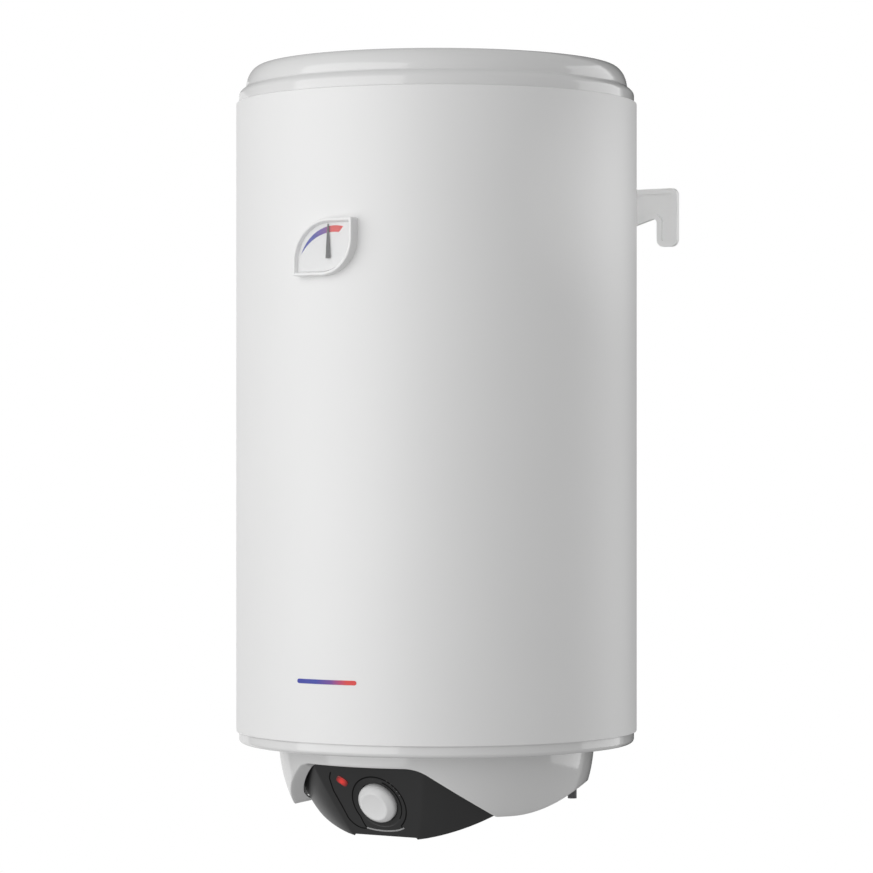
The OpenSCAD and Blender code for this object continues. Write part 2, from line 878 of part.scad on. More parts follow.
outer_casing();
top_cover();
bottom_lid();
bottom_skirt();
compartment_floor();
control_panel();
dial_ring();
dial_marks();
thermostat_knob();
thermostat_spindle();
indicator_lens();
indicator_lamp();
gauge_bezel();
gauge_dial();
gauge_arc_cold();
gauge_arc_warm();
gauge_arc_hot();
gauge_pointer();
gauge_axle();
gauge_window();
gauge_case();
gauge_bulb();
hook_arm_left();
hook_arm_right();
tank_strap();
tank_shell();
tank_top_head();
tank_bottom_head();
insulation_foam();
flange_neck();
flange_gasket();
flange_plate();
flange_studs();
flange_nuts();
heating_element();
element_terminals();
anode_rod();
anode_nut();
thermowells();
cold_inlet_pipe();
inlet_diffuser();
hot_outlet_pipe();
cold_pipe_collar();
hot_pipe_collar();
thermostat_body();
thermal_cutout();
reset_button();
terminal_block();
earth_screw();
inner_leads();
cable_gland();
gland_nut();
cover_screws();
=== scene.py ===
"""Wall-hung tank water heater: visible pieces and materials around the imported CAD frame."""

import math

import bmesh
import bpy
from mathutils import Matrix, Vector


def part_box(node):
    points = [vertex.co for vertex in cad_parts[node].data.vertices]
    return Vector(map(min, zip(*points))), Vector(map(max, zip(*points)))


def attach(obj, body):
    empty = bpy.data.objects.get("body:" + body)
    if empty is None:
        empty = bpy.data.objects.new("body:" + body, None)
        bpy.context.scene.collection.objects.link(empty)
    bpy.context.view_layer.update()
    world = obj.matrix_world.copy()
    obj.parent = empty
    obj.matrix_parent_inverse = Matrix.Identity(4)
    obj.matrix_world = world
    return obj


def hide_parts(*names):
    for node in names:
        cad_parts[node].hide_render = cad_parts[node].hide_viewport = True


MM = 0.001
WELD = 0.001  # millimetres within which a piece's seams are joined
CUT_WELD = 0.02  # the same for bodies that only cut
LARGE_TURNS, SMALL_TURNS = 320, 160  # segments round large and round small turned pieces
LINE_SIDES = 10
RELIEF_DEPTH = 0.0002  # metres
MOTTLE_SCALE = 9.0

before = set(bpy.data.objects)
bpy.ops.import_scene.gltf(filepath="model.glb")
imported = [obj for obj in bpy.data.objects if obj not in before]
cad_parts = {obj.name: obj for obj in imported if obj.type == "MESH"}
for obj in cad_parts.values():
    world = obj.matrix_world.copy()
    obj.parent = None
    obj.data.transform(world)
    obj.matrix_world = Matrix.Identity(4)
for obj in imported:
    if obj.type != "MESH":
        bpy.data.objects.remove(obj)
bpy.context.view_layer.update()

# ---- places taken from the frame ---------------------------------------------------------

casing_low, casing_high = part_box("outer_casing")
casing_middle = (casing_low + casing_high) / 2
AXIS = Vector((casing_middle.x, casing_middle.y, casing_low.z))
CASING_R = (casing_high.x - casing_low.x) / 2 / MM
CASING_H = (casing_high.z - casing_low.z) / MM


def at(x, y, z):
    """A point given in millimetres about the tank axis, z = 0 at the casing's bottom rim."""
    return AXIS + Vector((x, y, z)) * MM


# ---- mesh helpers ------------------------------------------------------------------------


def link_object(name, data):
    """A new object in the scene, around mesh, light or camera data."""
    thing = bpy.data.objects.new(name, data)
    bpy.context.scene.collection.objects.link(thing)
    return thing


def frame_mesh(name, bm, weld):
    """Turns a bmesh in millimetres about the axis into a mesh in the frame's metres."""
    bmesh.ops.remove_doubles(bm, verts=bm.verts, dist=weld)
    bmesh.ops.recalc_face_normals(bm, faces=bm.faces)
    mesh = bpy.data.meshes.new(name)
    bm.to_mesh(mesh)
    bm.free()
    mesh.transform(Matrix.Translation(AXIS) @ Matrix.Scale(MM, 4))
    return mesh


def smooth_shade(mesh, sharp):
    """Smooth shading that keeps edges above an angle in degrees crisp."""
    mesh.shade_smooth()
    mesh.set_sharp_from_angle(angle=math.radians(sharp))


def finish_piece(name, bm, body, material, replaces=(), sharp=35):
    """Makes a bmesh a visible piece that rides on a body and may stand for CAD nodes."""
    mesh = frame_mesh(name, bm, WELD)
    smooth_shade(mesh, sharp)
    mesh.materials.append(material)
    piece = link_object(name, mesh)
    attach(piece, body)
    if replaces:
        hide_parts(*replaces)
    return piece


def arc(cx, cy, r, start, end, steps):
    """Points on an arc, angles in degrees."""
    turns = [math.radians(start + (end - start) * i / steps) for i in range(steps + 1)]
    return [(cx + r * math.cos(t), cy + r * math.sin(t)) for t in turns]


def pill(length, width, corner, steps=6):
    """Outline of a bar with four round corners."""
    x, y = length / 2 - corner, width / 2 - corner
    return (arc(x, -y, corner, -90, 0, steps) + arc(x, y, corner, 0, 90, steps)
            + arc(-x, y, corner, 90, 180, steps) + arc(-x, -y, corner, 180, 270, steps))


def skin_rings(bm, rings, close_last=False):
    """Joins closed rings of points, all of one length, by quads."""
    verts = [[bm.verts.new(p) for p in ring] for ring in rings]
    count = len(rings[0])
    pairs = list(zip(verts, verts[1:]))
    if close_last:
        pairs.append((verts[-1], verts[0]))
    for a, b in pairs:
        for i in range(count):
            j = (i + 1) % count
            bm.faces.new((a[i], a[j], b[j], b[i]))
    return verts


def lathe(bm, profile, segments, matrix=None):
    """Turns a closed (r, z) outline round the z axis."""
    rings = []
    for i in range(segments):
        t = 2 * math.pi * i / segments
        ring = [Vector((r * math.sin(t), -r * math.cos(t), z)) for r, z in profile]
        rings.append([matrix @ p for p in ring] if matrix else ring)
    skin_rings(bm, rings, close_last=True)


def slab(bm, outline, low, high, edge, matrix=None):
    """A flat plate with rounded front edges: outline in x and y, extruded along z."""
    steps = 4

    def inset(points, amount):
        count = len(points)
        moved = []
        for i, p in enumerate(points):
            a = Vector(points[i - 1])
            b = Vector(points[(i + 1) % count])
            p = Vector(p)
            before = (p - a).normalized()
            after = (b - p).normalized()
            normal = Vector((-(before.y + after.y), before.x + after.x)).normalized()
            stretch = max(0.3, normal.dot(Vector((-before.y, before.x))))
            moved.append(p + normal * (amount / stretch))
        return moved

    rings = [[(p[0], p[1], low) for p in outline]]
    for i in range(steps + 1):
        t = math.pi / 2 * i / steps
        ring = inset(outline, edge * (1 - math.cos(t)))
        rings.append([(p.x, p.y, high - edge + edge * math.sin(t)) for p in ring])
    if matrix:
        rings = [[matrix @ Vector(p) for p in ring] for ring in rings]
    verts = skin_rings(bm, rings)
    bm.faces.new(list(reversed(verts[0])))
    bm.faces.new(verts[-1])


def tube_along(bm, points, radius, flat, normal):
    """A thin raised line along points, flattened along its normal."""
    rings = []
    for i, p in enumerate(points):
        p = Vector(p)
        before = Vector(points[max(i - 1, 0)])
        after = Vector(points[min(i + 1, len(points) - 1)])
        along = (after - before).normalized()
        side = along.cross(normal).normalized()
        ring = []
        for k in range(LINE_SIDES):
            t = 2 * math.pi * k / LINE_SIDES
            across = side * (radius * math.cos(t))
            ring.append(p + across + normal * (radius * flat * math.sin(t)))
        rings.append(ring)
    verts = skin_rings(bm, rings)
    bm.faces.new(list(reversed(verts[0])))
    bm.faces.new(verts[-1])


# ---- materials ---------------------------------------------------------------------------


def shader_base(name):
    """A new node material with its Principled shader and object coordinates."""
    material = bpy.data.materials.new(name)
    material.use_nodes = True
    nodes = material.node_tree.nodes
    shader = nodes["Principled BSDF"]
    coords = nodes.new("ShaderNodeTexCoord")
    return material, nodes, material.node_tree.links, shader, coords


def noise(nodes, links, coords, scale, detail=3.0):
    """A noise texture fixed to the object."""
    texture = nodes.new("ShaderNodeTexNoise")
    texture.inputs["Scale"].default_value = scale
    texture.inputs["Detail"].default_value = detail
    links.new(coords.outputs["Object"], texture.inputs["Vector"])
    return texture


def vary_roughness(nodes, links, shader, fine, low, high):
    """Lets the roughness follow a noise between two values."""
    spread = nodes.new("ShaderNodeMapRange")
    spread.inputs["To Min"].default_value = low
    spread.inputs["To Max"].default_value = high
    links.new(fine.outputs["Fac"], spread.inputs["Value"])
    links.new(spread.outputs["Result"], shader.inputs["Roughness"])


def add_relief(nodes, links, shader, fine, strength):
    """Fine relief that follows a noise."""
    relief = nodes.new("ShaderNodeBump")
    relief.inputs["Strength"].default_value = strength
    relief.inputs["Distance"].default_value = RELIEF_DEPTH
    links.new(fine.outputs["Fac"], relief.inputs["Height"])
    links.new(relief.outputs["Normal"], shader.inputs["Normal"])


def surface(name, color, rough, metal=0.0, grain=900.0, bump=0.02, shade=0.03,
            rough_span=0.06, coat=0.0, coat_rough=0.1, specular=0.5):
    """Solid material whose colour, roughness and fine relief vary slightly over the surface."""
    material, nodes, links, shader, coords = shader_base(name)
    broad = noise(nodes, links, coords, MOTTLE_SCALE)
    fine = noise(nodes, links, coords, grain, 2.0)
    ramp = nodes.new("ShaderNodeValToRGB")
    dark = [c * (1 - shade) for c in color]
    light = [min(1.0, c * (1 + shade)) for c in color]
    ramp.color_ramp.elements[0].position = 0.3
    ramp.color_ramp.elements[0].color = (*dark, 1)
    ramp.color_ramp.elements[1].position = 0.7
    ramp.color_ramp.elements[1].color = (*light, 1)
    links.new(broad.outputs["Fac"], ramp.inputs["Fac"])
    links.new(ramp.outputs["Color"], shader.inputs["Base Color"])
    vary_roughness(nodes, links, shader, fine, rough - rough_span / 2, rough + rough_span / 2)
    add_relief(nodes, links, shader, fine, bump)
    shader.inputs["Metallic"].default_value = metal
    shader.inputs["Coat Weight"].default_value = coat
    shader.inputs["Coat Roughness"].default_value = coat_rough
    shader.inputs["Specular IOR Level"].default_value = specular
    return material


def striped(name, stops, low_x, high_x, rough):
    """Print whose colour runs along x between two places in metres; stops are (share, colour)."""
    material, nodes, links, shader, coords = shader_base(name)
    split = nodes.new("ShaderNodeSeparateXYZ")
    links.new(coords.outputs["Object"], split.inputs["Vector"])
    span = nodes.new("ShaderNodeMapRange")
    span.inputs["From Min"].default_value = low_x
    span.inputs["From Max"].default_value = high_x
    links.new(split.outputs["X"], span.inputs["Value"])
    ramp = nodes.new("ShaderNodeValToRGB")
    elements = ramp.color_ramp.elements
    for element, (place, color) in zip(elements, (stops[0], stops[-1])):
        element.position = place
        element.color = (*color, 1)
    for place, color in stops[1:-1]:
        elements.new(place).color = (*color, 1)
    links.new(span.outputs["Result"], ramp.inputs["Fac"])
    links.new(ramp.outputs["Color"], shader.inputs["Base Color"])
    fine = noise(nodes, links, coords, 1500.0, 2.0)
    add_relief(nodes, links, shader, fine, 0.02)
    shader.inputs["Roughness"].default_value = rough
    return material


def clear_plastic(name):
    """Thin clear pane: mostly see-through, with a faint gloss."""
    material, nodes, links, shader, coords = shader_base(name)
    fine = noise(nodes, links, coords, 60.0, 2.0)
    vary_roughness(nodes, links, shader, fine, 0.03, 0.07)
    shader.inputs["Base Color"].default_value = (0.98, 0.99, 1.0, 1)
    shader.inputs["Alpha"].default_value = 0.06
    shader.inputs["IOR"].default_value = 1.2
    return material


def lit_lens(name, centre):
    """Red lens, brightest over the lamp behind its middle."""
    material, nodes, links, shader, coords = shader_base(name)
    ribs = noise(nodes, links, coords, 400.0, 2.0)
    away = nodes.new("ShaderNodeVectorMath")
    away.operation = "DISTANCE"
    away.inputs[1].default_value = centre
    links.new(coords.outputs["Object"], away.inputs[0])
    spread = nodes.new("ShaderNodeMapRange")
    spread.inputs["From Min"].default_value = 1.5 * MM
    spread.inputs["From Max"].default_value = 7.0 * MM
    links.new(away.outputs["Value"], spread.inputs["Value"])
    mixed = nodes.new("ShaderNodeMath")
    mixed.operation = "MULTIPLY_ADD"
    mixed.inputs[1].default_value = 0.2
    links.new(ribs.outputs["Fac"], mixed.inputs[0])
    links.new(spread.outputs["Result"], mixed.inputs[2])
    ramp = nodes.new("ShaderNodeValToRGB")
    ramp.color_ramp.elements[0].color = (0.95, 0.035, 0.025, 1)
    ramp.color_ramp.elements[1].color = (0.2, 0.004, 0.004, 1)
    links.new(mixed.outputs["Value"], ramp.inputs["Fac"])
    links.new(ramp.outputs["Color"], shader.inputs["Base Color"])
    links.new(ramp.outputs["Color"], shader.inputs["Emission Color"])
    shader.inputs["Emission Strength"].default_value = 0.15
    shader.inputs["Roughness"].default_value = 0.18
    shader.inputs["Coat Weight"].default_value = 0.6
    return material


CASING_WHITE = surface("enamelled_casing", (0.845, 0.845, 0.843), 0.42, grain=1400, bump=0.03,
                       shade=0.006)
COVER_WHITE = surface("glossy_cover", (0.765, 0.765, 0.763), 0.12, grain=300, bump=0.012,
                      shade=0.008, rough_span=0.03, coat=0.4, coat_rough=0.04)
HOOK_WHITE = surface("painted_hook", (0.8, 0.8, 0.798), 0.35, grain=800, bump=0.04, shade=0.01)
FLOOR_WHITE = surface("moulded_floor", (0.72, 0.72, 0.72), 0.55, grain=700, bump=0.08)
PANEL_BLACK = surface("moulded_black", (0.021, 0.021, 0.0215), 0.33, grain=1600, bump=0.05,
                      shade=0.1)
# painted shade: near-black with dull gloss, for raised lines that stand in for the shadowed moulded
# grooves
GROOVE_SHADE = surface("painted_groove_shade", (0.002, 0.002, 0.002), 0.7, grain=1600, bump=0.05,
                       shade=0.1, specular=0.15)
# painted highlight: pale grey for the line that stands in for light caught on the moulded frame's
# lower edge
HIGHLIGHT_GREY = surface("painted_highlight_grey", (0.34, 0.34, 0.34), 0.4, grain=1600, bump=0.03)
PRINT_GREY = surface("grey_print", (0.2, 0.2, 0.2), 0.5, grain=900)
KNOB_WHITE = surface("knob_plastic", (0.85, 0.85, 0.85), 0.3, grain=900, bump=0.02, shade=0.008)
GAUGE_WHITE = surface("gauge_plastic", (0.86, 0.86, 0.858), 0.28, grain=700, bump=0.015,
                      shade=0.008)
DIAL_WHITE = surface("dial_card", (0.82, 0.82, 0.82), 0.6, grain=2500, bump=0.03, shade=0.01)
POINTER_BLACK = surface("pointer_black", (0.085, 0.085, 0.087), 0.5, grain=1500, bump=0.03,
                        shade=0.1)
STEEL = surface("brushed_steel_part", (0.6, 0.61, 0.62), 0.32, metal=1.0, grain=1200, bump=0.08)
BRASS = surface("brass_part", (0.72, 0.5, 0.2), 0.3, metal=1.0, grain=1200, bump=0.05)
COPPER = surface("copper_part", (0.72, 0.36, 0.22), 0.32, metal=1.0, grain=1200, bump=0.05)
SHEATH = surface("element_sheath_metal", (0.32, 0.27, 0.23), 0.4, metal=1.0, grain=900, bump=0.1)
ANODE = surface("magnesium_anode", (0.5, 0.51, 0.52), 0.55, metal=1.0, grain=500, bump=0.2)
ENAMEL = surface("tank_enamel_glaze", (0.03, 0.1, 0.17), 0.2, grain=250, bump=0.1, coat=0.5)
FOAM = surface("sprayed_foam", (0.72, 0.56, 0.24), 0.9, grain=220, bump=0.7, shade=0.12)
GASKET = surface("gasket_rubber_black", (0.02, 0.02, 0.02), 0.7, grain=700, bump=0.1)
DARK_PLASTIC = surface("dark_moulding", (0.03, 0.03, 0.033), 0.5, grain=900, bump=0.08)
PALE_PLASTIC = surface("pale_moulding", (0.66, 0.65, 0.6), 0.5, grain=900, bump=0.06)
COLLAR_BLUE = surface("blue_collar", (0.02, 0.09, 0.5), 0.35, grain=700, bump=0.03)
COLLAR_RED = surface("red_collar", (0.5, 0.02, 0.02), 0.35, grain=700, bump=0.03)
GLAND_GREY = surface("gland_nylon", (0.1, 0.1, 0.105), 0.55, grain=900, bump=0.08)
BUTTON_RED = surface("red_button", (0.55, 0.012, 0.01), 0.35, grain=900, bump=0.04)
LAMP_GLASS = surface("lamp_bulb", (0.9, 0.45, 0.2), 0.15, grain=300, bump=0.02)
CLEAR = clear_plastic("clear_pane")

BLUE = (0.03, 0.045, 0.36)
PURPLE = (0.16, 0.045, 0.3)
RED = (0.72, 0.045, 0.04)
pivot_low, pivot_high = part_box("gauge_axle")
PIVOT_X = (pivot_low.x + pivot_high.x) / 2
SCALE_STOPS = [(0.0, BLUE), (0.3, BLUE), (0.58, PURPLE), (0.72, RED), (1.0, RED)]
SCALE_PRINT = striped("scale_print", SCALE_STOPS, PIVOT_X - 36 * MM, PIVOT_X + 19 * MM, 0.4)

CAD_MATERIALS = {
    HOOK_WHITE: ["hook_arm_left", "hook_arm_right"],
    FLOOR_WHITE: ["compartment_floor"],
    PRINT_GREY: ["dial_marks"],
    STEEL: ["thermostat_spindle", "tank_strap", "flange_neck", "flange_plate", "flange_studs",
            "flange_nuts", "anode_nut", "cover_screws", "cold_inlet_pipe", "hot_outlet_pipe"],
    BUTTON_RED: ["reset_button"],
    LAMP_GLASS: ["indicator_lamp"],
    DIAL_WHITE: ["gauge_dial"],
    SCALE_PRINT: ["gauge_arc_cold", "gauge_arc_warm", "gauge_arc_hot"],
    POINTER_BLACK: ["gauge_pointer", "gauge_axle"],
    BRASS: ["gauge_bulb", "element_terminals", "earth_screw"],
    CLEAR: ["gauge_window"],
    DARK_PLASTIC: ["gauge_case", "thermal_cutout"],
    ENAMEL: ["tank_shell", "tank_top_head", "tank_bottom_head"],
    FOAM: ["insulation_foam"],
    GASKET: ["flange_gasket"],
    SHEATH: ["heating_element"],
    ANODE: ["anode_rod"],
    COPPER: ["thermowells", "inner_leads"],
    PALE_PLASTIC: ["inlet_diffuser", "thermostat_body", "terminal_block"],
    COLLAR_BLUE: ["cold_pipe_collar"],
    COLLAR_RED: ["hot_pipe_collar"],
    GLAND_GREY: ["cable_gland", "gland_nut"],
}


def dress_cad_nodes():
    """Gives every CAD node that stays visible its procedural material."""
    for material, names in CAD_MATERIALS.items():
        for name in names:
            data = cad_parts[name].data
            data.materials.clear()
            data.materials.append(material)


def soften_edges(names, width):
    """Small rounded edges on CAD plates."""
    for name in names:
        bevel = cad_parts[name].modifiers.new("soft_edges", "BEVEL")
        bevel.width = width
        bevel.segments = 3
        bevel.limit_method = "ANGLE"
        bevel.angle_limit = math.radians(50)
        bevel.harden_normals = True


# ---- casing and covers -------------------------------------------------------------------

BAND_R = 226.9
COVER_T = 2.5


def make_casing():
    """Sheet-steel drum with both rims rolled inward over a small radius."""
    roll = 1.2
    sheet = 0.8
    lip_r = BAND_R + 0.3
    top = CASING_H
    rim_r = CASING_R - roll
    outer = arc(rim_r, roll, roll, -90, 0, 6) + arc(rim_r, top - roll, roll, 0, 90, 6)
    inner = [(lip_r, top), (lip_r, top - sheet), (CASING_R - sheet, top - sheet - 1),
             (CASING_R - sheet, sheet + 1), (lip_r, sheet), (lip_r, 0)]
    bm = bmesh.new()
    lathe(bm, outer + inner, LARGE_TURNS)
    finish_piece("casing_drum", bm, "heater", CASING_WHITE, ["outer_casing"])


def cover_profile(inset):
    """Top cover from band over step and shoulder to crown: r, and z above the casing."""
    band_h, cap_r, step_h, crown_h = 10, 219, 18, 46
    shoulder_w, shoulder_h, power = 16.2, 24.2, 1.1
    points = [(BAND_R - inset, -12), (BAND_R - inset, band_h - 0.8)]
    points += [(BAND_R - inset - 0.3, band_h + 0.6), (225.6 - inset, 12.5), (223.4 - inset, 14.8)]
    points += [(220.8 - inset, 16.8), (cap_r - inset + 0.3, step_h - 0.4)]
    points.append((cap_r - inset, step_h + 0.8))
    for i in range(1, 15):
        t = math.radians(90 * i / 14)
        r = cap_r - inset - shoulder_w * (1 - math.cos(t) ** power)
        points.append((r, step_h + (shoulder_h - inset) * math.sin(t) ** power))
    edge_r, edge_z = points[-1]
    for i in range(1, 13):
        s = 1 - i / 12
        points.append((edge_r * s, edge_z + (crown_h - inset - edge_z) * (1 - s * s)))
    return points


def make_top_cover():
    """Glossy cap: straight band, stepped edge, rounded shoulder and shallow crown."""
    outer = cover_profile(0)
    inner = list(reversed(cover_profile(COVER_T)))
    profile = [(max(r, 0.02), CASING_H + z) for r, z in outer + inner]
    bm = bmesh.new()
    lathe(bm, profile, LARGE_TURNS)
    finish_piece("top_cover_cap", bm, "heater", COVER_WHITE, ["top_cover"], 60)


def make_bottom_lid():
    """Glossy band under the casing, turned under to a flat ring around the flange."""
    lid_h, edge_r, hole_r = 13, 5, 70
    outer = [(BAND_R, 10)] + arc(BAND_R - edge_r, -lid_h + edge_r, edge_r, 0, -90, 8)
    inner = [(hole_r, -lid_h), (hole_r, -lid_h + COVER_T)]
    back = list(reversed(arc(BAND_R - edge_r, -lid_h + edge_r, edge_r - COVER_T, 0, -90, 8)))
    bm = bmesh.new()
    lathe(bm, outer + inner + back + [(BAND_R - COVER_T, 10)], LARGE_TURNS)
    finish_piece("bottom_lid_ring", bm, "heater", COVER_WHITE, ["bottom_lid"])


# ---- bottom skirt ------------------------------------------------------------------------

SKIRT_X, SKIRT_Z, SKIRT_R = 9.6, -8.0, 171.6
SKIRT_TOP = -13.0
SKIRT_T = 3.0
OPEN_TOP, OPEN_AZIMUTH, OPEN_CORNER_R, OPEN_SLOPE = -29.0, 32.0, 50.0, 32.2
OPEN_CORNER_U = -36.5
EDGE_LOW, EDGE_RISE, EDGE_FRONT_Y, EDGE_RUN = -84.6, 27.6, -75, 141
NO_OPENING = -200


def skirt_radius(z):
    return SKIRT_X + math.sqrt(SKIRT_R ** 2 - (z - SKIRT_Z) ** 2)


def skirt_edge(y):
    """Level of the lower edge, which rises smoothly from front to back."""
    t = min(max((y - EDGE_FRONT_Y) / EDGE_RUN, 0), 1)
    return EDGE_LOW + EDGE_RISE * t * t * (3 - 2 * t)


def opening_level(u):
    """Top of the panel opening seen along its side walls, at a distance u across them."""
    centre_z = OPEN_TOP - OPEN_CORNER_R
    slope = math.radians(OPEN_SLOPE)
    end_u = OPEN_CORNER_U + OPEN_CORNER_R * math.sin(slope)
    if u < OPEN_CORNER_U:
        return OPEN_TOP
    if u < end_u:
        return centre_z + math.sqrt(OPEN_CORNER_R ** 2 - (u - OPEN_CORNER_U) ** 2)
    return centre_z + OPEN_CORNER_R * math.cos(slope) - (u - end_u) * math.tan(slope)


def skirt_low(turn):
    """Lowest level of the skirt's outer surface at an angle from the front."""
    azimuth = math.radians(OPEN_AZIMUTH)
    z = -60.0  # any start inside the bowl settles on the edge
    for _ in range(24):
        r = skirt_radius(z)
        u = r * math.sin(abs(turn) - azimuth)
        edge = skirt_edge(-r * math.cos(turn))
        level = opening_level(u) if math.cos(turn) > 0 else NO_OPENING
        target = max(edge, level)
        z += (target - z) * 0.6
    return z


def make_skirt():
    """Glossy bowl with the control-panel opening, its inner return wall and a rolled lower lip."""
    reveal, corner_reveal, corner_rise = 16.0, 6.0, 4.0
    wall = 2.2
    corner, corner_fade = math.radians(58.0), math.radians(1.5)
    near_corner, near_span = math.radians(46), math.radians(8)
    side_from = math.radians(20)
    count = 420
    rings = []
    for k in range(count):
        turn = math.radians(-180 + 360 * k / count)
        low = skirt_low(turn)
        past = (abs(turn) - corner) / corner_fade
        fade = min(max(0.5 * (1 - past), 0), 1)
        to_corner = min(max((abs(turn) - near_corner) / near_span, 0), 1)
        depth = SKIRT_T + (reveal + corner_reveal * to_corner - SKIRT_T) * fade
        rise = corner_rise * to_corner ** 4 * fade
        out = Vector((math.sin(turn), -math.cos(turn), 0))
        side = min(abs(turn) / side_from, 1) * math.radians(OPEN_AZIMUTH)
        inward = -Vector((math.copysign(math.sin(side), turn), -math.cos(side), 0))
        inward = (inward * fade - out * (1 - fade)).normalized()
        inner_end = depth / max(0.3, -inward.dot(out))
        ring = [out * (skirt_radius(SKIRT_TOP) - SKIRT_T) + Vector((0, 0, SKIRT_TOP))]
        steps = 16
        for i in range(steps + 1):
            z = SKIRT_TOP + (low + 1.2 - SKIRT_TOP) * i / steps
            ring.append(out * skirt_radius(z) + Vector((0, 0, z)))
        lip = out * skirt_radius(low) + Vector((0, 0, low))
        for share, drop in ((0.35, 0.35), (1.0, 0.0)):
            ring.append(lip + inward * share + Vector((0, 0, drop)))
        for i in range(1, 6):
            reach = 1.0 + (inner_end - 1.0) * i / 5
            ring.append(lip + inward * reach + Vector((0, 0, rise * i / 5)))
        ring.append(lip + inward * inner_end + Vector((0, 0, wall + rise)))
        back = lip + inward * (SKIRT_T + 0.4) + Vector((0, 0, wall))
        ring.append(back)
        for i in range(1, 5):
            z = back.z + (SKIRT_TOP - 2.5 - back.z) * i / 4
            ring.append(out * (skirt_radius(z) - SKIRT_T) + Vector((0, 0, z)))
        rings.append(ring)
    bm = bmesh.new()
    skin_rings(bm, rings, close_last=True)
    finish_piece("skirt_bowl", bm, "heater", COVER_WHITE, ["bottom_skirt"], 40)


# ---- control panel -----------------------------------------------------------------------

PANEL_X, PANEL_Z, PANEL_R = 28.5, -10.0, 135.0
PANEL_TOP = -24.0
PANEL_BACK = -60.0
PANEL_SHARP = 32
# half width of the flat face: at its middle, its growth per millimetre up, and its bend
CREASE_HALF, CREASE_SPREAD, CREASE_BEND = 59.8, 0.33, -0.0008
CREASE_SOFT = 2.4
WING_END, WING_FALL = 64, 1.7  # degrees from the front, and how fast the wing turns round
FACE_X, FACE_Y, FACE_Z, FACE_TILT = 1.5, -126.27, -73.06, 25.0
CHIN_Y, CHIN_Z, CHIN_SLOPE = -106.0, -113.0, 38.5
DISH_R, DISH_FLOOR_R, DISH_DEPTH = 31.0, 24.2, 5.5
FACE = (Matrix.Translation((FACE_X, FACE_Y, FACE_Z))
        @ Matrix.Rotation(math.radians(90 + FACE_TILT), 4, "X"))
FACE_OUT = Vector((0, -math.cos(math.radians(FACE_TILT)), -math.sin(math.radians(FACE_TILT))))


def on_face(x, y, out=0.0):
    """A point on the panel's flat face: x to the right, y up the face, out of it in millimetres."""
    return FACE @ Vector((x, y, out))


def panel_section(z):
    """The panel's closed outline at a level, from its left rear corner round the front."""
    r = PANEL_X + math.sqrt(PANEL_R ** 2 - (z - PANEL_Z) ** 2)
    face = FACE_Y - (z - FACE_Z) * math.tan(math.radians(FACE_TILT))
    back = min(PANEL_BACK, CHIN_Y + (z - CHIN_Z) / math.tan(math.radians(CHIN_SLOPE)))
    back = max(back, face + 0.02)
    up = (z - FACE_Z) / math.cos(math.radians(FACE_TILT))
    half = CREASE_HALF + CREASE_SPREAD * up + CREASE_BEND * up * up
    half = min(half, math.sqrt(r * r - face * face))
    rear = math.acos(min(1, -back / r))
    crease = min(math.atan2(half, -face), rear - 0.001)
    crease_r = math.hypot(half, face)
    blend_end = math.radians(WING_END)
    soft = min(CREASE_SOFT / r, (rear - crease) * 0.8)

    def wing_point(turn):
        share = min(max((turn - crease) / (blend_end - crease), 0), 1)
        radius = r - (r - crease_r) * (1 - share) ** WING_FALL
        return Vector((radius * math.sin(turn), -radius * math.cos(turn), z))

    wing = [wing_point(rear + (crease + soft - rear) * i / 24) for i in range(25)]
    corner = Vector((half, face, z))
    flat = Vector((half - CREASE_SOFT, face, z))
    start = wing[-1]
    for i in range(1, 7):
        t = i / 6
        wing.append(start * (1 - t) ** 2 + corner * 2 * t * (1 - t) + flat * t * t)
    mirror = [Vector((-p.x, p.y, p.z)) for p in wing]
    front = [Vector((-flat.x + 2 * flat.x * i / 24, face, z)) for i in range(1, 24)]
    end = wing[0]
    behind = [Vector((end.x - 2 * end.x * i / 12, end.y, z)) for i in range(1, 12)]
    return mirror + front + list(reversed(wing)) + behind


def into_cutter(name, bm):
    """A bare object that only cuts."""
    return link_object(name, frame_mesh(name, bm, CUT_WELD))


def carve(piece, cutters):
    """Cuts the cutters out of a piece and removes them."""
    for cutter in cutters:
        cut = piece.modifiers.new(cutter.name, "BOOLEAN")
        cut.object = cutter
        cut.solver = "EXACT"
    graph = bpy.context.evaluated_depsgraph_get()
    done = bpy.data.meshes.new_from_object(piece.evaluated_get(graph))
    piece.modifiers.clear()
    piece.data = done
    smooth_shade(done, PANEL_SHARP)
    for cutter in cutters:
        bpy.data.objects.remove(cutter)


def make_panel():
    """Black facia: flat slanted face between two curved wings, with a stepped seat for the knob."""
    chin = CHIN_Z - 0.9
    rows = 44
    levels = [PANEL_TOP + (chin - PANEL_TOP) * i / rows for i in range(rows + 1)]
    bm = bmesh.new()
    verts = skin_rings(bm, [panel_section(z) for z in levels])
    bm.faces.new(verts[0])
    bm.faces.new(list(reversed(verts[-1])))
    panel = finish_piece("control_facia", bm, "heater", PANEL_BLACK,
                         ["control_panel", "dial_ring"], PANEL_SHARP)
    seat = bmesh.new()
    floor_r = DISH_FLOOR_R
    profile = [(0.01, -DISH_DEPTH), (floor_r - 0.6, -DISH_DEPTH), (floor_r, -DISH_DEPTH + 0.6)]
    profile += [(floor_r + 0.1, -1.4), (floor_r + 0.8, -0.8)]
    profile += [(DISH_R - 1.4, -0.6), (DISH_R - 0.6, -0.4), (DISH_R - 0.1, -0.15)]
    profile += [(DISH_R + 0.4, 0.03), (DISH_R + 0.4, 6), (0.01, 6)]
    lathe(seat, profile, SMALL_TURNS, FACE)
    recess = bmesh.new()
    place = Matrix.Translation((0, CHIN_Y, CHIN_Z))
    place = place @ Matrix.Rotation(math.radians(CHIN_SLOPE), 4, "X")
    slab(recess, pill(84, 90, 6), -8, 2.4, 2.0, place)
    carve(panel, [into_cutter("seat_cut", seat), into_cutter("chin_cut", recess)])


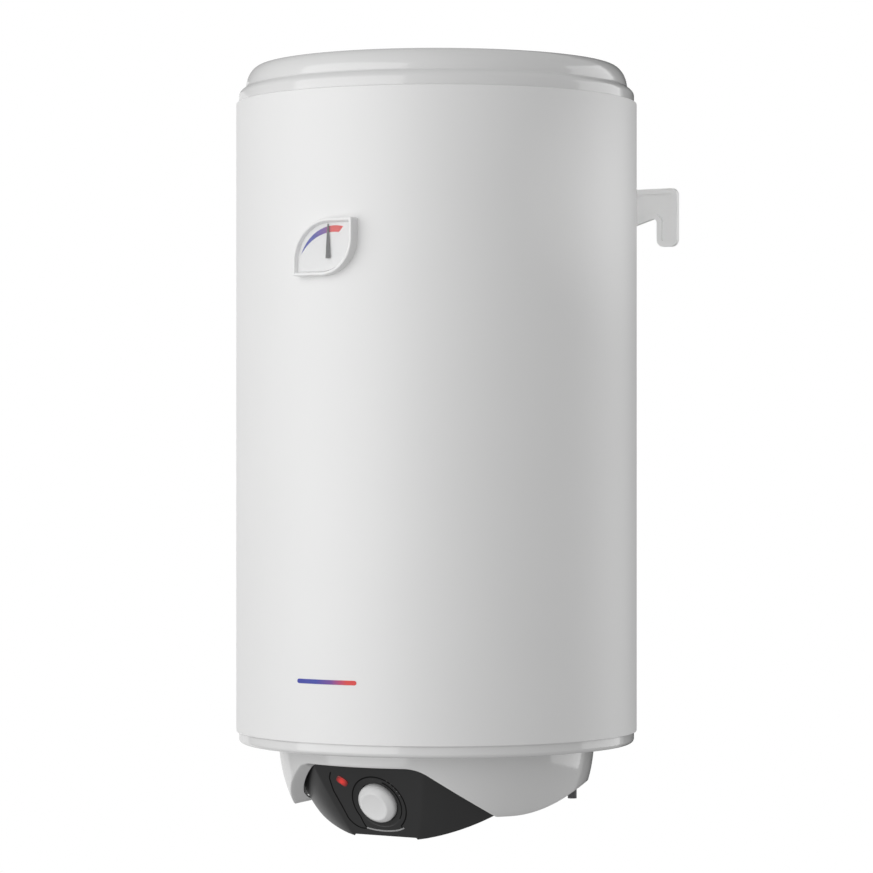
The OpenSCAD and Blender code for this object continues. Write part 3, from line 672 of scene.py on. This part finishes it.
def face_line(bm, points, radius, flat):
    """A thin raised line on the face, coloured as painted shade or as a painted highlight; points
    are (x, y) on it.
    """
    tube_along(bm, [on_face(x, y, 0.02) for x, y in points], radius, flat, FACE_OUT)


def make_panel_lines():
    """Moulded grooves of the arched frame round the knob and of the lamp's surround, drawn as
    near-black raised lines that paint their shade, and a pale bar that is a painted highlight on
    the frame's lower edge.
    """
    arch_r = 34.6
    arch = [(24.8, -32.0)] + arc(1.4, -1.4, arch_r, -50, 210, 64) + [(-26.5, -27.0), (-24.0, -33.0)]
    inner = arc(0.6, -0.8, 29.6, -38, 66, 24)
    surround = [(-53.5, 36.5)] + arc(-47.5, 27.0, 9.6, 150, 190, 5) + [(-56.2, 13.0), (-49.5, -8.2)]
    surround += arc(-24.5, -11.5, 23.5, 205, 255, 10) + [(-25.0, -34.5)]
    bm = bmesh.new()
    # near-black lines where the real facia has grooves: painted shade
    face_line(bm, arch, 0.8, 0.5)
    face_line(bm, inner, 0.6, 0.5)
    face_line(bm, surround, 0.8, 0.5)
    finish_piece("facia_groove_shade", bm, "heater", GROOVE_SHADE)
    # pale line under the knob: a painted highlight on the frame's lower edge
    bar = arc(-1.0, 60.0, 96.2, 256.5, 278, 14)
    bar += [(16.5, -34.5), (20.0, -33.6), (23.5, -32.2), (26.8, -30.6)]
    bm = bmesh.new()
    face_line(bm, bar, 1.0, 0.6)
    finish_piece("facia_painted_highlight", bm, "heater", HIGHLIGHT_GREY)


def make_knob():
    """Pale thermostat knob: round wall, broad sloping shoulder and a shallow dished front."""
    foot, proud, r, grip_r = -4.8, 9.5, 23.6, 17.0
    profile = [(3.0, foot + 4.2), (3.0, 1.5), (0.02, 1.5), (0.02, proud - 0.9), (6, proud - 0.85)]
    profile += [(11, proud - 0.65), (grip_r - 3, proud - 0.3), (grip_r - 1.6, proud - 0.05)]
    profile += [(grip_r - 0.8, proud), (grip_r, proud - 0.2), (grip_r + 1.0, proud - 0.9)]
    profile += [(21.0, proud - 3.4), (22.5, proud - 4.9), (23.3, proud - 6.4), (r, proud - 8.0)]
    profile += [(r, foot + 0.5), (r - 0.5, foot), (r - 2.4, foot)]
    profile.append((r - 2.4, foot + 4.2))
    bm = bmesh.new()
    lathe(bm, profile, SMALL_TURNS, FACE)
    finish_piece("knob_cap", bm, "knob", KNOB_WHITE, ["thermostat_knob"], 50)


LENS_X, LENS_Y, LENS_TURN = -40.7, 25.7, -37


def make_lens():
    """Slanted red pill-shaped lens, standing a little proud of the face."""
    bm = bmesh.new()
    place = FACE @ Matrix.Translation((LENS_X, LENS_Y, 0))
    place = place @ Matrix.Rotation(math.radians(LENS_TURN), 4, "Z")
    slab(bm, pill(14.8, 9.2, 3.2), -3.8, 1.0, 0.9, place)
    lens_red = lit_lens("red_lens", AXIS + on_face(LENS_X, LENS_Y) * MM)
    finish_piece("lamp_lens", bm, "heater", lens_red, ["indicator_lens"])


# ---- thermometer -------------------------------------------------------------------------

GAUGE_W, GAUGE_H, GAUGE_X, GAUGE_Z = 77.5, 62.5, 1.5, 544.0
GAUGE_FRONT, DIAL_FRONT = 239.45, 235.0
GAUGE = Matrix.Translation((0, 0, GAUGE_Z)) @ Matrix.Rotation(math.radians(90), 4, "X")


def leaf(inset, steps=20):
    """Leaf outline: pointed at top right and bottom left, round at the other corners."""
    x, y = GAUGE_W / 2 - inset, GAUGE_H / 2 - inset
    big, small = 47 - inset, 40 - inset
    tip = max(1.6 - inset * 0.3, 0.6)
    outline = arc(x - tip, y - tip, tip, 0, 90, 4) + arc(big - x, y - big, big, 90, 180, steps)
    outline += arc(tip - x, tip - y, tip, 180, 270, 4)
    outline += arc(x - small, small - y, small, -90, 0, steps)
    return [(GAUGE_X + px, py) for px, py in outline]


def make_bezel():
    """Leaf-shaped bezel: rounded rim, inner wall sloping to the dial, sides to the casing."""
    rim = 3.3
    inner = rim + 1.6
    front = GAUGE_FRONT
    levels = [(0.0, None), (0.0, front - 1.2), (0.15, front - 0.6), (0.5, front - 0.15),
              (1.1, front), (rim - 0.8, front), (rim - 0.3, front - 0.2), (rim, front - 0.7),
              (rim + 1.5, DIAL_FRONT + 0.05), (inner, DIAL_FRONT - 1.5), (inner, None)]
    rings = []
    for inset, out in levels:
        ring = []
        for x, y in leaf(inset):
            depth = out if out else math.sqrt((CASING_R - 0.4) ** 2 - x * x)
            ring.append(GAUGE @ Vector((x, y, depth)))
        rings.append(ring)
    bm = bmesh.new()
    skin_rings(bm, rings, close_last=True)
    finish_piece("gauge_frame", bm, "heater", GAUGE_WHITE, ["gauge_bezel"], 40)


def make_badge():
    """Plain pill-shaped colour bar on the casing, blue to red, with no lettering."""
    length, width, level, proud = 78.0, 5.0, 68.0, 0.35
    colors = [(0.0, BLUE), (0.35, BLUE), (0.6, PURPLE), (0.85, RED), (1.0, RED)]
    left, right = AXIS.x - length / 2 * MM, AXIS.x + length / 2 * MM
    print_material = striped("badge_print", colors, left, right, 0.35)
    half = (length - width) / 2
    parts = 24
    outline = arc(half, 0, width / 2, -90, 90, 10)
    outline += [(half - 2 * half * i / parts, width / 2) for i in range(1, parts)]
    outline += arc(-half, 0, width / 2, 90, 270, 10)
    outline += [(-half + 2 * half * i / parts, -width / 2) for i in range(1, parts)]

    def wrap(x, z, r):
        turn = x / CASING_R
        return Vector((r * math.sin(turn), -r * math.cos(turn), level + z))

    front_r = CASING_R + proud
    rings = []
    for r, scale in ((CASING_R - 0.3, 1.0), (front_r - 0.1, 1.0), (front_r, 0.97), (front_r, 0)):
        rings.append([wrap(x, z * scale, r) for x, z in outline])
    bm = bmesh.new()
    skin_rings(bm, rings)
    finish_piece("colour_bar", bm, "heater", print_material, sharp=30)


# ---- stage, lights and camera ------------------------------------------------------------

CAMERA_AZIMUTH = 32.0
CAMERA_DISTANCE = 3.979
CAMERA_LEVEL = 322.0
LENS_MM = 142.6
HORIZON_SHIFT = 0.015464  # share of the frame's width
AIM_LEVEL = 360.0


def around(azimuth, distance, z_mm):
    """A point round the axis: azimuth 0 is in front, 90 to the object's right."""
    t = math.radians(azimuth)
    return AXIS + Vector((distance * math.sin(t), -distance * math.cos(t), z_mm * MM))


def add_camera():
    """Level long-lens camera at the front right, its horizon shifted a little."""
    data = bpy.data.cameras.new("camera")
    data.lens = LENS_MM
    data.sensor_width = 36.0
    data.shift_y = HORIZON_SHIFT
    camera = link_object("camera", data)
    camera.location = around(CAMERA_AZIMUTH, CAMERA_DISTANCE, CAMERA_LEVEL)
    camera.rotation_euler = (math.radians(90), 0, math.radians(CAMERA_AZIMUTH))
    bpy.context.scene.camera = camera


def add_softbox(name, azimuth, distance, z_mm, width, height, radiance):
    """Rectangular softbox that faces the heater."""
    data = bpy.data.lights.new(name, "AREA")
    data.shape = "RECTANGLE"
    data.size = width
    data.size_y = height
    data.energy = radiance * math.pi * width * height
    light = link_object(name, data)
    light.location = around(azimuth, distance, z_mm)
    aim = at(0, 0, AIM_LEVEL) - light.location
    light.rotation_euler = aim.to_track_quat("-Z", "Y").to_euler()


def add_accent(name, azimuth, distance, z_mm, target, cone, power):
    """Narrow spot that lifts one part out of the tank's shade."""
    data = bpy.data.lights.new(name, "SPOT")
    data.energy = power
    data.spot_size = math.radians(cone)
    data.spot_blend = 0.5
    data.shadow_soft_size = 0.12
    light = link_object(name, data)
    light.location = around(azimuth, distance, z_mm)
    light.rotation_euler = (target - light.location).to_track_quat("-Z", "Y").to_euler()


def emitter(name, strength):
    """Plain glowing material for the stage."""
    glow = bpy.data.materials.new(name)
    glow.use_nodes = True
    nodes = glow.node_tree.nodes
    emission = nodes.new("ShaderNodeEmission")
    emission.inputs["Strength"].default_value = strength
    output = nodes["Material Output"]
    glow.node_tree.links.new(emission.outputs["Emission"], output.inputs["Surface"])
    return glow


def show_only(thing, camera):
    """Shows a stage object to the camera alone, or else to glossy surfaces alone."""
    thing.visible_camera = camera
    thing.visible_glossy = not camera
    thing.visible_diffuse = False
    thing.visible_transmission = False
    thing.visible_shadow = False


def add_card(name, centre, facing, width, height, material, camera=False):
    """A flat card for the stage, seen by the camera alone or by glossy surfaces alone."""
    mesh = bpy.data.meshes.new(name)
    bm = bmesh.new()
    turn = facing.to_track_quat("Z", "Y").to_matrix().to_4x4()
    w, h = width / 2, height / 2
    corners = [(-w, -h), (w, -h), (w, h), (-w, h)]
    bm.faces.new([bm.verts.new(turn @ Vector((x, y, 0))) for x, y in corners])
    bm.to_mesh(mesh)
    bm.free()
    mesh.materials.append(material)
    card = link_object(name, mesh)
    card.location = centre
    show_only(card, camera)


def add_stage():
    """White backdrop dome and a pale floor far below, seen by the camera only."""
    dome_mesh = bpy.data.meshes.new("backdrop")
    bm = bmesh.new()
    bmesh.ops.create_icosphere(bm, subdivisions=4, radius=14)
    bm.to_mesh(dome_mesh)
    bm.free()
    dome = link_object("backdrop", dome_mesh)
    dome.location = AXIS
    glow = emitter("backdrop_white", 1.0)
    dome_mesh.materials.append(glow)
    show_only(dome, camera=True)
    below = AXIS + Vector((0, 0, -3.2))
    add_card("pale_floor", below, Vector((0, 0, 1)), 17, 17, glow, camera=True)


def add_reflected_cards():
    """Cards behind the object that only gloss shows: dark on the right, pale on the left."""
    flags = [("dark_flag", 156, 1300, 2.3, 5.0, 0.02), ("pale_flag", -158, -600, 2.4, 3.6, 0.8)]
    for name, azimuth, z_mm, width, height, strength in flags:
        place = around(CAMERA_AZIMUTH + azimuth, 3.2, z_mm)
        facing = AXIS - place
        facing.z = 0
        add_card(name, place, facing.normalized(), width, height, emitter(name, strength))


def add_world():
    """Soft studio surroundings: a little brighter above and in front than below and behind."""
    world = bpy.data.worlds.new("studio")
    world.use_nodes = True
    nodes = world.node_tree.nodes
    links = world.node_tree.links
    coords = nodes.new("ShaderNodeTexCoord")
    lean = nodes.new("ShaderNodeVectorMath")
    lean.operation = "DOT_PRODUCT"
    bright = math.radians(CAMERA_AZIMUTH - 25)
    dim_strength, bright_strength = 0.34, 0.5
    lean.inputs[1].default_value = (0.7 * math.sin(bright), -0.7 * math.cos(bright), 0.7)
    links.new(coords.outputs["Generated"], lean.inputs[0])
    spread = nodes.new("ShaderNodeMapRange")
    spread.inputs["From Min"].default_value = -1.0
    spread.inputs["To Min"].default_value = dim_strength
    spread.inputs["To Max"].default_value = bright_strength
    links.new(lean.outputs["Value"], spread.inputs["Value"])
    links.new(spread.outputs["Result"], nodes["Background"].inputs["Strength"])
    nodes["Background"].inputs["Color"].default_value = (1.0, 1.0, 1.0, 1)
    bpy.context.scene.world = world
    bpy.context.scene.view_settings.view_transform = "Standard"


make_casing()
make_top_cover()
make_bottom_lid()
make_skirt()
make_panel()
make_panel_lines()
make_knob()
make_lens()
make_bezel()
make_badge()
dress_cad_nodes()
soften_edges(["hook_arm_left", "hook_arm_right"], 0.9 * MM)
add_stage()
add_reflected_cards()
add_world()
add_softbox("key_left", CAMERA_AZIMUTH - 53, 3.0, 800, 4.0, 3.8, 1.38)
add_softbox("rim_right", CAMERA_AZIMUTH + 110, 3.0, 780, 2.3, 3.2, 1.1)
hook_low, hook_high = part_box("hook_arm_right")
hook_tip = (hook_low + hook_high) / 2 + Vector((0.048, 0, 0))
add_accent("hook_accent", CAMERA_AZIMUTH + 4, 3.4, 700, hook_tip, 2.9, 290)
add_camera()
